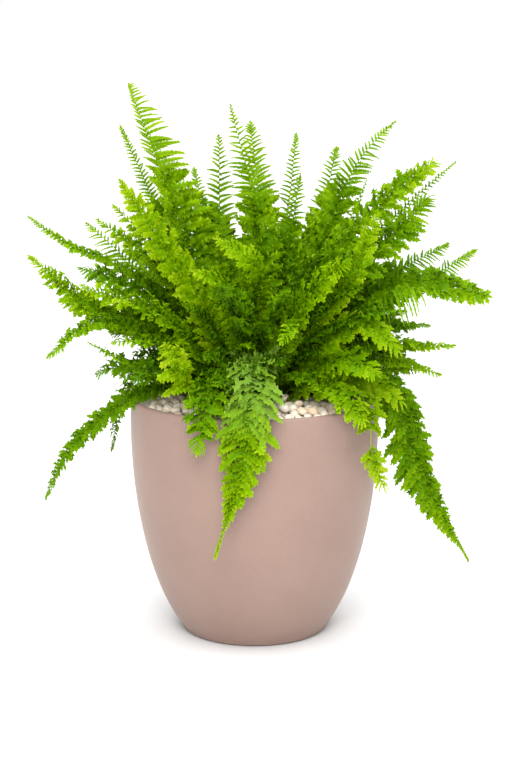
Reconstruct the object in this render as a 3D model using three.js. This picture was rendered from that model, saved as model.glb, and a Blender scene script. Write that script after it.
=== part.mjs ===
// A ruffled sword fern in a round tapered planter, mulched with pebbles.
// Millimetres, +Z up. The origin is the centre of the planter's flat base, and -Y is the front.
import * as THREE from "three";

// Planter
const PLANTER_HEIGHT = 320;
const BASE_RADIUS = 94;
const LOWER_BELLY = { radius: 144, height: 60 };
const UPPER_BELLY = { radius: 170, height: 190 };
const RIM_RADIUS = 165;
const WALL = 7;
const FLOOR = 14;
const LIP_RADIUS = WALL / 2;
const PLANTER_SIDES = 64;
const PROFILE_STEPS = 12;
const LIP_STEPS = 4;

// What fills the planter
const CONTACT_GAP = 0.3;
const SIDE_GAP = 0.9;
const SOIL_TOP = 297;
const PEBBLE_TOP = 317;
const PEBBLE_EDGE_TOP = 313;
const PEBBLE_HOLE_RADIUS = 66;
const PEBBLE_SHOULDER = 12;
const FILLING_SIDES = 48;

// Crown: the flat-bottomed dome that all the stalks grow from
const CROWN_RADIUS = 56;
const CROWN_RISE = 44;
const CROWN_BASE = SOIL_TOP + CONTACT_GAP;
const CROWN_SIDES = 32;
const CROWN_STEPS = 8;

// Fronds: a stalk, then a long tapered blade with a slight ridge and keel along its midrib
const STALK_WIDTH = 3.6;
const STALK_SHARE = 0.13;
const BLADE_THICKNESS = 2.4;
const TIP_WIDTH = 1.6;
const BLADE_WIDENING = 0.5;
const BLADE_TAPER = 0.85;
const FROND_STEPS = 10;
const LONG_FROND_STEPS = 14;
const LONG_FROND = 420;
const ROOT_GAP = 0.4;
const STALK_RISE = 26;

const v = (x, y, z) => new THREE.Vector3(x, y, z);
const radians = THREE.MathUtils.degToRad;
const finish = (color, roughness) => new THREE.MeshStandardMaterial({ color, roughness, metalness: 0 });
const PLANTER_FINISH = finish(0xbea091, 0.62);
const SOIL_FINISH = finish(0x3b2a1d, 0.95);
const PEBBLE_FINISH = finish(0xded3c2, 0.55);
const CROWN_FINISH = finish(0x5a4426, 0.9);
const FROND_FINISH = finish(0x6a9c14, 0.5);

// Every frond grows from the crown through the points of `via` to `tip`.
// `width` is the blade's widest place, and `turn` twists the blade about its midrib, in degrees.
// `lean` is how far down the side of the crown the stalk starts, in degrees from the top.
const UPRIGHT_FRONDS = [
  { tip: [-168, 60, 730], via: [[-93, 35, 528]], width: 38, turn: -55 },
  { tip: [-184, 118, 672], via: [[-112, 75, 520]], width: 26, turn: -35 },
  { tip: [-84, 150, 612], via: [[-58, 90, 500]], width: 30, turn: 0 },
  { tip: [-48, 90, 660], via: [[-44, 62, 525]], width: 22, turn: 25, lean: 14 },
  { tip: [-32, -5, 706], via: [[3, -4, 555]], width: 34, turn: 90, lean: 5 },
  { tip: [-6, 122, 676], via: [[8, 75, 540]], width: 30, turn: 0 },
  { tip: [58, 150, 658], via: [[44, 95, 540]], width: 24, turn: 10, lean: 34 },
  { tip: [61, 58, 607], via: [[42, 42, 495]], width: 26, turn: 20, lean: 18 },
  { tip: [188, 60, 680], via: [[84, 28, 500], [140, 48, 630]], width: 40, turn: 50 },
  { tip: [112, 122, 641], via: [[88, 80, 540]], width: 30, turn: 30 },
  { tip: [156, 150, 594], via: [[118, 108, 515]], width: 26, turn: 25, lean: 34 },
];

const ARCHING_FRONDS = [
  { tip: [-170, -100, 615], via: [[-62, -48, 440], [-100, -72, 505]], width: 40, turn: 30 },
  { tip: [-184, -20, 575], via: [[-88, -12, 470]], width: 24, turn: -35 },
  { tip: [-210, 28, 552], via: [[-105, 12, 475]], width: 24, turn: -35 },
  { tip: [-232, 110, 540], via: [[-140, 70, 460]], width: 34, turn: -35 },
  {
    tip: [-300, 20, 557],
    via: [[-110, 8, 440], [-180, 12, 492], [-250, 17, 521]],
    width: 22,
    turn: -40,
    lean: 50,
  },
  { tip: [-292, -45, 512], via: [[-120, -22, 415], [-205, -35, 440]], width: 30, turn: -45, lean: 50 },
  { tip: [222, -52, 588], via: [[98, -38, 462], [165, -48, 526]], width: 36, turn: 45 },
  { tip: [236, 12, 630], via: [[78, -6, 466], [148, 2, 560]], width: 34, turn: 45 },
  { tip: [272, 80, 625], via: [[110, 36, 478], [196, 62, 560]], width: 30, turn: 40 },
  { tip: [155, -100, 571], via: [[75, -58, 430], [120, -88, 480]], width: 34, turn: -35 },
  { tip: [-49, -130, 544], via: [[4, -66, 440], [0, -118, 510]], width: 34, turn: 0, lean: 36 },
  { tip: [-76, -150, 506], via: [[-22, -80, 425], [-38, -125, 485]], width: 32, turn: 0 },
  { tip: [117, -168, 522], via: [[38, -75, 412], [72, -128, 475]], width: 44, turn: 0, lean: 50 },
  { tip: [266, 100, 511], via: [[120, 48, 435]], width: 26, turn: 40, lean: 50 },
  { tip: [294, 20, 512], via: [[120, 8, 425], [230, 15, 474]], width: 24, turn: 45, lean: 50 },
  { tip: [304, -40, 458], via: [[110, -18, 420], [200, -32, 478]], width: 36, turn: 45, lean: 50 },
  { tip: [-185, 190, 500], via: [[-95, 98, 430]], width: 40, turn: 0 },
  { tip: [-70, 245, 505], via: [[-38, 120, 435]], width: 44, turn: 0 },
  { tip: [55, 250, 510], via: [[28, 122, 440]], width: 44, turn: 0 },
  { tip: [165, 205, 500], via: [[82, 105, 430]], width: 40, turn: 0 },
];

const LOW_FRONDS = [
  { tip: [-263, -112, 390], via: [[-110, -50, 395], [-205, -90, 432]], width: 26, turn: -35, lean: 58 },
  { tip: [-210, -140, 415], via: [[-118, -84, 354]], width: 26, turn: -25 },
  { tip: [-222, -100, 482], via: [[-110, -55, 428]], width: 26, turn: -35, lean: 46 },
  { tip: [-268, 125, 430], via: [[-130, 62, 395]], width: 28, turn: -40 },
  { tip: [270, 30, 381], via: [[110, 12, 375], [190, 22, 382]], width: 30, turn: 40 },
  { tip: [248, -22, 350], via: [[100, -10, 362], [180, -18, 370]], width: 28, turn: 40, lean: 57 },
  { tip: [184, -122, 399], via: [[84, -70, 400], [138, -102, 434]], width: 36, turn: 30 },
  { tip: [155, -145, 374], via: [[70, -62, 362], [112, -108, 388]], width: 34, turn: 25, lean: 61 },
  { tip: [215, -82, 474], via: [[102, -40, 405], [160, -64, 464]], width: 30, turn: 40 },
  { tip: [32, -165, 418], via: [[28, -85, 385], [50, -140, 438]], width: 30, turn: 0 },
  { tip: [193, -80, 325], via: [[82, -42, 348], [143, -62, 352]], width: 30, turn: 35, lean: 66 },
  { tip: [-112, -150, 416], via: [[-52, -86, 346], [-82, -128, 356]], width: 40, turn: -10, lean: 62 },
  { tip: [-72, -186, 282], via: [[-34, -92, 362], [-58, -158, 350]], width: 32, turn: -10 },
  { tip: [245, 120, 395], via: [[115, 58, 400]], width: 34, turn: 35 },
  { tip: [120, 230, 385], via: [[58, 108, 405]], width: 42, turn: 0 },
  { tip: [-5, 265, 380], via: [[-2, 125, 405]], width: 42, turn: 0 },
  { tip: [-135, 225, 385], via: [[-65, 105, 400]], width: 42, turn: 0 },
  { tip: [138, -154, 314], via: [[62, -72, 344], [108, -124, 350]], width: 30, turn: 15, lean: 68 },
];

const TRAILING_FRONDS = [
  {
    tip: [-280, -25, 181],
    via: [[-122, -52, 340], [-180, -48, 314], [-250, -34, 245]],
    width: 24,
    turn: -45,
  },
  {
    tip: [-50, -192, 148],
    via: [[4, -96, 390], [-4, -162, 354], [-15, -188, 268]],
    width: 54,
    turn: 0,
  },
  {
    tip: [290, -10, 92],
    via: [[110, -16, 353], [185, -20, 328], [226, -16, 214]],
    width: 44,
    turn: 60,
  },
  {
    tip: [166, -118, 222],
    via: [[100, -75, 350], [144, -108, 322], [150, -117, 268]],
    width: 16,
    turn: 30,
  },
  {
    tip: [175, 180, 190],
    via: [[75, 82, 352], [132, 142, 330], [162, 170, 265]],
    width: 32,
    turn: 0,
  },
  {
    tip: [-30, 240, 200],
    via: [[-12, 105, 358], [-22, 195, 335], [-28, 228, 270]],
    width: 36,
    turn: 0,
  },
  {
    tip: [-205, 165, 205],
    via: [[-85, 66, 352], [-155, 122, 335], [-190, 152, 275]],
    width: 32,
    turn: 0,
  },
];

// lean of the four groups, in degrees down from the crown's top
const UPRIGHT_LEAN = 24;
const ARCHING_LEAN = 41;
const LOW_LEAN = 55;
const TRAILING_LEAN = 63;

// The planter's outer side as [radius, height] points, from the foot to the lip.
function outerSide() {
  const curve = new THREE.CubicBezierCurve(
    new THREE.Vector2(BASE_RADIUS, 0),
    new THREE.Vector2(LOWER_BELLY.radius, LOWER_BELLY.height),
    new THREE.Vector2(UPPER_BELLY.radius, UPPER_BELLY.height),
    new THREE.Vector2(RIM_RADIUS, PLANTER_HEIGHT - LIP_RADIUS),
  );
  return curve.getPoints(PROFILE_STEPS);
}

// The outer side's radius at a height.
function outerRadiusAt(height) {
  const side = outerSide();
  const above = side.findIndex((point) => point.y >= height);
  const high = side[above < 1 ? 1 : above];
  const low = side[above < 1 ? 0 : above - 1];
  return THREE.MathUtils.mapLinear(height, low.y, high.y, low.x, high.x);
}

const innerRadiusAt = (height) => outerRadiusAt(height) - WALL;

// A solid of revolution from [radius, height] points that start and end on the axis, foot first.
function turned(points, sides) {
  const profile = points.map(([radius, height]) => new THREE.Vector2(radius, height));
  return new THREE.LatheGeometry(profile, sides).rotateX(Math.PI / 2);
}

// Heights of the planter's hollow, from its floor to just under the lip.
function wallHeights(low, high) {
  const between = outerSide()
    .map((point) => point.y)
    .filter((height) => height > low + WALL && height < high - WALL);
  return [low, ...between, high];
}

function planterShape() {
  const outside = outerSide().map((point) => [point.x, point.y]);
  const lip = [];
  for (let step = 1; step < LIP_STEPS; step += 1) {
    const angle = (Math.PI * step) / LIP_STEPS;
    const radius = RIM_RADIUS - LIP_RADIUS + LIP_RADIUS * Math.cos(angle);
    lip.push([radius, PLANTER_HEIGHT - LIP_RADIUS + LIP_RADIUS * Math.sin(angle)]);
  }
  const inside = wallHeights(FLOOR, PLANTER_HEIGHT - LIP_RADIUS)
    .reverse()
    .map((height) => [innerRadiusAt(height), height]);
  return turned([[0, 0], ...outside, ...lip, ...inside, [0, FLOOR]], PLANTER_SIDES);
}

function soilShape() {
  const low = FLOOR + CONTACT_GAP;
  const side = wallHeights(low, SOIL_TOP).map((height) => [innerRadiusAt(height) - SIDE_GAP, height]);
  return turned([[0, low], ...side, [0, SOIL_TOP]], FILLING_SIDES);
}

// The pebbles as one ring around the crown, sloping down at both of its edges.
function pebbleShape() {
  const low = SOIL_TOP + CONTACT_GAP;
  const outer = innerRadiusAt(low) - SIDE_GAP;
  const ring = [
    [PEBBLE_HOLE_RADIUS, low],
    [outer, low],
    [outer, PEBBLE_EDGE_TOP],
    [outer - PEBBLE_SHOULDER, PEBBLE_TOP],
    [PEBBLE_HOLE_RADIUS + PEBBLE_SHOULDER, PEBBLE_TOP],
    [PEBBLE_HOLE_RADIUS, PEBBLE_EDGE_TOP],
    [PEBBLE_HOLE_RADIUS, low],
  ];
  return turned(ring, FILLING_SIDES);
}

function crownShape() {
  const dome = [[0, CROWN_BASE]];
  for (let step = 0; step < CROWN_STEPS; step += 1) {
    const angle = (Math.PI / 2) * (step / CROWN_STEPS);
    dome.push([CROWN_RADIUS * Math.cos(angle), CROWN_BASE + CROWN_RISE * Math.sin(angle)]);
  }
  dome.push([0, CROWN_BASE + CROWN_RISE]);
  return turned(dome, CROWN_SIDES);
}

// Where a stalk leaves the crown, and the direction in which it leaves.
function rootOf(azimuth, lean) {
  const out = v(Math.sin(lean) * Math.cos(azimuth), Math.sin(lean) * Math.sin(azimuth), Math.cos(lean));
  const place = v(out.x * CROWN_RADIUS, out.y * CROWN_RADIUS, out.z * CROWN_RISE);
  const normal = v(out.x / CROWN_RADIUS, out.y / CROWN_RADIUS, out.z / CROWN_RISE).normalize();
  place.z += CROWN_BASE;
  return { place: place.addScaledVector(normal, ROOT_GAP), normal };
}

// The midrib's curve: out of the crown, up a short stalk, through `via`, to the tip.
function midrib(frond, groupLean) {
  const via = frond.via.map((point) => v(...point));
  const azimuth = Math.atan2(via[0].y, via[0].x);
  const root = rootOf(azimuth, radians(frond.lean ?? groupLean));
  const rise = root.place.clone().addScaledVector(root.normal, STALK_RISE);
  return new THREE.CatmullRomCurve3([root.place, rise, ...via, v(...frond.tip)], false, "centripetal");
}

// The blade's width at a share of the frond's length, 0 at the root and 1 at the tip.
function bladeWidth(widest, share) {
  if (share <= STALK_SHARE) return STALK_WIDTH;
  const along = (share - STALK_SHARE) / (1 - STALK_SHARE);
  const peak = BLADE_WIDENING / (BLADE_WIDENING + BLADE_TAPER);
  const shape = (at) => at ** BLADE_WIDENING * (1 - at) ** BLADE_TAPER;
  const least = THREE.MathUtils.lerp(STALK_WIDTH, TIP_WIDTH, along);
  return Math.max(least, (widest * shape(along)) / shape(peak));
}

// The direction across the blade: level and square to the frond's way out, turned about the midrib.
function acrossBlade(curve, share, outward, turn) {
  const tangent = curve.getTangentAt(share);
  const level = v(-outward.y, outward.x, 0);
  const across = level.addScaledVector(tangent, -level.dot(tangent)).normalize();
  return { across: across.applyAxisAngle(tangent, turn), tangent };
}

// One closed blade: a diamond section at each step along the midrib, with flat ends.
function frondShape(frond, groupLean) {
  const curve = midrib(frond, groupLean);
  const steps = curve.getLength() > LONG_FROND ? LONG_FROND_STEPS : FROND_STEPS;
  const outward = v(frond.tip[0], frond.tip[1], 0).normalize();
  const positions = [];
  for (let step = 0; step <= steps; step += 1) {
    const share = step / steps;
    const centre = curve.getPointAt(share);
    const { across, tangent } = acrossBlade(curve, share, outward, radians(frond.turn));
    const up = tangent.clone().cross(across).normalize();
    const halfWidth = bladeWidth(frond.width, share) / 2;
    const halfThickness = Math.min(BLADE_THICKNESS / 2, halfWidth);
    const corners = [
      centre.clone().addScaledVector(across, halfWidth),
      centre.clone().addScaledVector(up, halfThickness),
      centre.clone().addScaledVector(across, -halfWidth),
      centre.clone().addScaledVector(up, -halfThickness),
    ];
    corners.forEach((corner) => positions.push(...corner.toArray()));
  }
  const geometry = new THREE.BufferGeometry();
  geometry.setAttribute("position", new THREE.Float32BufferAttribute(positions, 3));
  geometry.setIndex(sweptFaces(steps));
  return geometry;
}

// Triangles of a closed sweep of four-cornered sections.
function sweptFaces(steps) {
  const corners = 4;
  const faces = [];
  for (let step = 0; step < steps; step += 1) {
    for (let side = 0; side < corners; side += 1) {
      const a = step * corners + side;
      const b = step * corners + ((side + 1) % corners);
      faces.push(a, b, a + corners);
      faces.push(b, b + corners, a + corners);
    }
  }
  const last = steps * corners;
  faces.push(0, 2, 1);
  faces.push(0, 3, 2);
  faces.push(last, last + 1, last + 2);
  faces.push(last, last + 2, last + 3);
  return faces;
}

function named(name, geometry, material) {
  const mesh = new THREE.Mesh(geometry, material);
  mesh.name = name;
  return mesh;
}

function frondGroup(kind, fronds, groupLean) {
  const group = new THREE.Group();
  fronds.forEach((frond, index) => {
    const name = `${kind}_frond_${String(index + 1).padStart(2, "0")}`;
    group.add(named(name, frondShape(frond, groupLean), FROND_FINISH));
  });
  return group;
}

const pottedFern = new THREE.Group();
pottedFern.add(
  named("planter", planterShape(), PLANTER_FINISH),
  named("potting_soil", soilShape(), SOIL_FINISH),
  named("pebble_layer", pebbleShape(), PEBBLE_FINISH),
  named("crown", crownShape(), CROWN_FINISH),
  frondGroup("upright", UPRIGHT_FRONDS, UPRIGHT_LEAN),
  frondGroup("arching", ARCHING_FRONDS, ARCHING_LEAN),
  frondGroup("low", LOW_FRONDS, LOW_LEAN),
  frondGroup("trailing", TRAILING_FRONDS, TRAILING_LEAN),
);

export default pottedFern;
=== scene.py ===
import math

import bmesh
import bpy
import numpy as np
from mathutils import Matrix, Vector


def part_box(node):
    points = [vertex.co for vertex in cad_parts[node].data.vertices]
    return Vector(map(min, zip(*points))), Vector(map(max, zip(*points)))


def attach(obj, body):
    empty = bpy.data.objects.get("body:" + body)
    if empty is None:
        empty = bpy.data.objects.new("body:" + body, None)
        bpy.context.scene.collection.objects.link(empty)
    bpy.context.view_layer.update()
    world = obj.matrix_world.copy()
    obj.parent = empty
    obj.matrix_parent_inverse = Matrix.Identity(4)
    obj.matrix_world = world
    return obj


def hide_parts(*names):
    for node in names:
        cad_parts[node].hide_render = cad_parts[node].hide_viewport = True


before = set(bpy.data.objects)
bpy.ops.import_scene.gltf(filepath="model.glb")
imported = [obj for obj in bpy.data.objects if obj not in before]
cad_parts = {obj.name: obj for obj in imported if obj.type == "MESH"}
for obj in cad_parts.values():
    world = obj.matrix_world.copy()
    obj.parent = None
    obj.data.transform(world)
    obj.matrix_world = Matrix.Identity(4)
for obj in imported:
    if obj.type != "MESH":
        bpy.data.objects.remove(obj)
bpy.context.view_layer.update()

MM = 0.001
UP = np.array([0.0, 0.0, 1.0])
GOLDEN_ANGLE = math.pi * (3 - math.sqrt(5))

# Camera: the photograph's frame is 512 x 768 pixels
PHOTO_HEIGHT_PX = 768
FOCAL_LENGTH_PX = 1873
SENSOR_HEIGHT_MM = 36
CAMERA_PLACE = (0.002, -2.455, 0.807)
CAMERA_PITCH = math.radians(-10.9)

# Studio
BACKDROP_STRENGTH = 1.0
WORLD_STRENGTH = 0.28
FLOOR_RADIUS = 40.0
FLOOR_SIDES = 96
FLOOR_ALBEDO = 0.72
OVERHEAD_TILT = (math.radians(-3), math.radians(2))
OVERHEAD_STRENGTH = 5.15
OVERHEAD_SPREAD = math.radians(80)
KEY_PLACE = np.array([-0.1, -2.4, 1.6])
KEY_TARGET = np.array([0.0, 0.0, 0.3])
KEY_SIZE = 1.6
KEY_POWER = 68

# Planter
PLANTER_SEGMENTS = 192
WALL_POINTS = 60
FOOT_FILLET = 3.5 * MM
FOOT_GAP = 1.3 * MM
FOOT_INSET = 4 * MM
CORNER_POINTS = 6
WALL = 7 * MM
LIP_POINTS = 10

# Soil and crown. Their roughness is sets of random waves of a height, a wavelength and a seed.
FILLING_SEGMENTS = 120
SIDE_RINGS, SURFACE_RINGS, DOME_RINGS, UNDERSIDE_RINGS = 24, 44, 38, 4
SOIL_SIDE_GAP = 0.9 * MM
SOIL_SINK = 2 * MM
SOIL_CRUMBS = ((1.1 * MM, 14 * MM, 3), (0.8 * MM, 5 * MM, 4))
CROWN_SINK = 1.5 * MM
CROWN_SCALES = ((1.6 * MM, 18 * MM, 5), (1.1 * MM, 6 * MM, 6))
WAVES_PER_SET = 14
WAVELENGTH_FACTORS = (0.6, 1.6)

# Pebbles
PEBBLE_SEED = 11
PEBBLE_SPACING = 14.0 * MM
PEBBLE_PACKING = 0.92
SPREADING_STEPS = 90
SPREADING_PUSH = 0.4
PEBBLE_RADII = (7.4 * MM, 6.5 * MM, 5.6 * MM)
PEBBLE_SIZES = (0.86, 1.2)
PEBBLE_CUTS = 7
PEBBLE_CUT_DEPTHS = (0.62, 0.92)
PEBBLE_CUT_SHARE = 0.86
PEBBLE_TILT = 0.35
PEBBLE_INNER_RADIUS = 61 * MM
PEBBLE_WALL_GAP = 7.2 * MM
PEBBLE_TOP_JITTER = 2.6 * MM
PEBBLE_HEAP = 7.5 * MM
PEBBLE_HEAP_WIDTH = 36 * MM
PEBBLE_SHADES = (4.2, 2.4)
# Upper and lower layer: subdivisions of a stone, stones for each upper one, scale and drop
PEBBLE_LAYERS = ((2, 1.0, 1.06, 0.0), (1, 0.8, 0.9, 8.5 * MM))

# Fronds
RACHIS_SIDES = 7
RACHIS_POINTS = 46
RACHIS_RADIUS = (1.15 * MM, 0.25 * MM)
ROOT_SINK = 3 * MM
SPINE_POINTS = 160
LEAF_CLEARANCE = 1.5 * MM
SHARP_EDGE = math.radians(70)
LIGHT_WAY = np.array([0.0, -1.0, 0.9])

# Leaflets
LEAST_LEAFLET = 3.8 * MM
LEAST_WIDTH_SHARE = 0.8
MOST_WIDTH = 13.5 * MM
MOST_LOBES = 8
MOST_FLUTTER = 0.85
LEAF_THICKNESS = 0.34 * MM
RIB_DROP = 0.35 * MM
NOTCH_DROP = 0.15 * MM
TIP_LOBE = 0.6
LAST_LEAFLET_GAP = 1.6 * MM
LEAFLET_GAPS = (0.86, 1.14)
TIP_GAP_SHARE = 0.5
TIP_ANGLE_SHARE = 0.7
LEAFLET_WIDTHS = (0.88, 1.14)
LOBE_SIZES = (0.84, 1.14)
FIRST_LOBE_GAIN = 0.2
LOBE_LEAN_SPREAD = 0.1

# Points on the edge of a lobe: place from the lobe's middle, in lobes, divisor of the lobe's lean to the
# leaflet's tip, share of the lobe's reach, and closeness to the edge, which sets painted light on it
LOBE_EDGE = (
    (-0.36, 3, 0.86, 0.8),
    (-0.14, 2, 0.72, 1.0),
    (0.12, 1, 1.06, 1.0),
    (0.42, 2, 0.66, 0.85),
)
CREST_REACH = 0.52
CREST_CLOSENESS = 0.45

# How youth, which makes a leaflet yellow and bright, changes along it and the blade. Across it the
# brightness is painted light: a painted highlight by its edges and painted shade along its midrib
YOUTH_SPREAD = 0.06
YOUTH_ALONG = 0.24
EDGE_LIGHT_RIB_SHADE = 0.22
TIP_YOUTH, UPPER_YOUTH = 0.22, 0.04
BLOOM_SHARES = (0.5, 0.65)
BLOOM_FACTORS = (0.6, 1.2)
TONE_SPREAD = 0.03
STALK_TONE_GAIN = 0.1
BROWN_SHARE = 0.3

# Young fronds that fill the middle of the plant. Leans are in degrees from upright, and half
# widths are shares of the length.
YOUNG_SEED = 77
YOUNG_FRONDS = 66
YOUNG_GROUPS = 5
YOUNG_LENGTHS = (120 * MM, 215 * MM)
YOUNG_HALF_WIDTHS = (0.075, 0.095)
YOUNG_UPRIGHT_GAIN = 1.4
YOUNG_FRONT_LOSS = 0.14
YOUNG_LEANS = (6, 52)
YOUNG_LEAN_SPREAD = 4
YOUNG_AZIMUTH_SPREAD = 0.15
YOUNG_TURN_SPREAD = 25
YOUNG_BARE_SHARE = 0.13
YOUNG_BEND = (0.35, 0.9)
YOUNG_OUTLINE = (0.5, 0.85)
# Their tones are low, as painted shade in the middle of the plant. Fronds that lean further out, except
# those in front, get less of it.
YOUNG_TONES = (0.19, 0.42)
YOUNG_OUTER_SHARES = (0.5, 0.75)
YOUNG_SIDE_GAIN = 0.24
YOUNG_LOOK = dict(reach=1.8, sunward=0.5)

# Low young fronds that hide the soil, shorter in the openings where pebbles show. An opening has
# a middle and a half width, in degrees.
SKIRT_FRONDS = 30
SKIRT_LEANS = (60, 80)
SKIRT_LENGTHS = (95 * MM, 135 * MM)
SKIRT_BEND = (0.75, 0.0)
SKIRT_TONES = (0.4, 0.6)
OPENINGS = ((-62, 34), (-150, 26))
OPENING_LENGTH = 40 * MM


def unit(vectors):
    return vectors / np.linalg.norm(vectors, axis=-1, keepdims=True)


def square_to(ways, vectors):
    """Unit vectors like the given ones, but at right angles to the ways."""
    return unit(vectors - (vectors * ways).sum(axis=-1, keepdims=True) * ways)


def turned(angle, start, aside):
    """Directions at an angle from the start, towards the one aside."""
    return np.cos(angle) * start + np.sin(angle) * aside


# ---- camera, light and floor


def placed(name, data):
    thing = bpy.data.objects.new(name, data)
    bpy.context.scene.collection.objects.link(thing)
    return thing


def add_camera():
    data = bpy.data.cameras.new("camera")
    data.sensor_fit = "VERTICAL"
    data.sensor_height = SENSOR_HEIGHT_MM
    data.lens = FOCAL_LENGTH_PX * SENSOR_HEIGHT_MM / PHOTO_HEIGHT_PX
    data.clip_end = 100
    camera = placed("camera", data)
    camera.location = CAMERA_PLACE
    camera.rotation_euler = (math.pi / 2 + CAMERA_PITCH, 0, 0)
    bpy.context.scene.camera = camera


def add_overhead_light():
    """A wide, soft light from above and a little behind, the same all over the floor."""
    data = bpy.data.lights.new("overhead", "SUN")
    data.energy = OVERHEAD_STRENGTH
    data.angle = OVERHEAD_SPREAD
    placed("overhead", data).rotation_euler = (*OVERHEAD_TILT, 0)


def add_key_light():
    """A weak soft box in front, above the camera."""
    data = bpy.data.lights.new("key", "AREA")
    data.shape = "DISK"
    data.size = KEY_SIZE
    data.energy = KEY_POWER
    light = placed("key", data)
    light.location = KEY_PLACE
    away = unit(KEY_PLACE - KEY_TARGET)
    light.rotation_euler = (math.acos(away[2]), 0, math.atan2(away[1], away[0]) + math.pi / 2)


def add_world():
    """Even light from all round, in front of a backdrop that shows as white."""
    world = bpy.data.worlds.new("studio")
    world.use_nodes = True
    tree = world.node_tree
    lighting = tree.nodes["Background"]
    backdrop = tree.nodes.new("ShaderNodeBackground")
    for node, strength in ((lighting, WORLD_STRENGTH), (backdrop, BACKDROP_STRENGTH)):
        node.inputs["Color"].default_value = (1, 1, 1, 1)
        node.inputs["Strength"].default_value = strength
    shown = tree.nodes.new("ShaderNodeMixShader")
    seen = tree.nodes.new("ShaderNodeLightPath").outputs["Is Camera Ray"]
    for i, source in enumerate((seen, lighting.outputs[0], backdrop.outputs[0])):
        tree.links.new(source, shown.inputs[i])
    tree.links.new(shown.outputs["Shader"], tree.nodes["World Output"].inputs["Surface"])
    bpy.context.scene.world = world
    bpy.context.scene.view_settings.view_transform = "Standard"


def add_floor():
    angles = np.linspace(0, 2 * math.pi, FLOOR_SIDES, endpoint=False)
    rim = [(FLOOR_RADIUS * math.cos(a), FLOOR_RADIUS * math.sin(a), 0) for a in angles]
    mesh = bpy.data.meshes.new("floor")
    mesh.from_pydata(rim, [], [range(len(rim))])
    grey = (FLOOR_ALBEDO, FLOOR_ALBEDO, FLOOR_ALBEDO)
    material = Nodes("studio_floor").finish(Base_Color=grey, Roughness=1.0, Specular_IOR_Level=0.0)
    mesh.materials.append(material)
    floor = placed("floor", mesh)


# ---- meshes and materials


def add_piece(name, points, faces, material, node=None, values=None, sharp=None):
    """A smooth mesh of triangles, which stands for a CAD node if one is named."""
    mesh = bpy.data.meshes.new(name)
    mesh.vertices.add(len(points))
    mesh.vertices.foreach_set("co", points.astype(np.float32).ravel())
    mesh.loops.add(faces.size)
    mesh.loops.foreach_set("vertex_index", faces.astype(np.int32).ravel())
    mesh.polygons.add(len(faces))
    mesh.polygons.foreach_set("loop_start", np.arange(0, faces.size, 3, dtype=np.int32))
    mesh.update(calc_edges=True)
    mesh.polygons.foreach_set("use_smooth", np.ones(len(faces), bool))
    for key, per_point in (values or {}).items():
        attribute = mesh.attributes.new(key, "FLOAT", "POINT")
        attribute.data.foreach_set("value", per_point.astype(np.float32))
    if sharp is not None:
        mesh.set_sharp_from_angle(angle=sharp)
    mesh.materials.append(material)
    piece = placed(name, mesh)
    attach(piece, "root")
    if node is not None:
        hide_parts(node)


def joined(meshes):
    """One mesh's points, triangles and values out of several."""
    starts = np.cumsum([0] + [len(points) for points, _, _ in meshes])
    points = np.vstack([points for points, _, _ in meshes])
    faces = np.vstack([faces + start for (_, faces, _), start in zip(meshes, starts)])
    values = {key: np.concatenate([values[key] for _, _, values in meshes]) for key in meshes[0][2]}
    return points, faces, values


def repeated(faces, count, size):
    """Triangles of `count` meshes that have the same faces and `size` points each."""
    return (faces + np.arange(count)[:, None, None] * size).reshape(-1, 3)


def tube_faces(rings, sides):
    """Triangles between rings of points in a row."""
    ring, step = np.meshgrid(np.arange(rings - 1), np.arange(sides), indexing="ij")
    here = (ring * sides + step).ravel()
    beside = (ring * sides + (step + 1) % sides).ravel()
    near = np.stack([here, beside, beside + sides], axis=-1)
    far = np.stack([here, beside + sides, here + sides], axis=-1)
    return np.vstack([near, far])


def cad_points(node):
    """Vertices of a CAD node."""
    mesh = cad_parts[node].data
    points = np.empty(len(mesh.vertices) * 3, np.float32)
    mesh.vertices.foreach_get("co", points)
    return points.reshape(-1, 3)


BLACK, WHITE = (0, 0, 0), (1, 1, 1)


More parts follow.
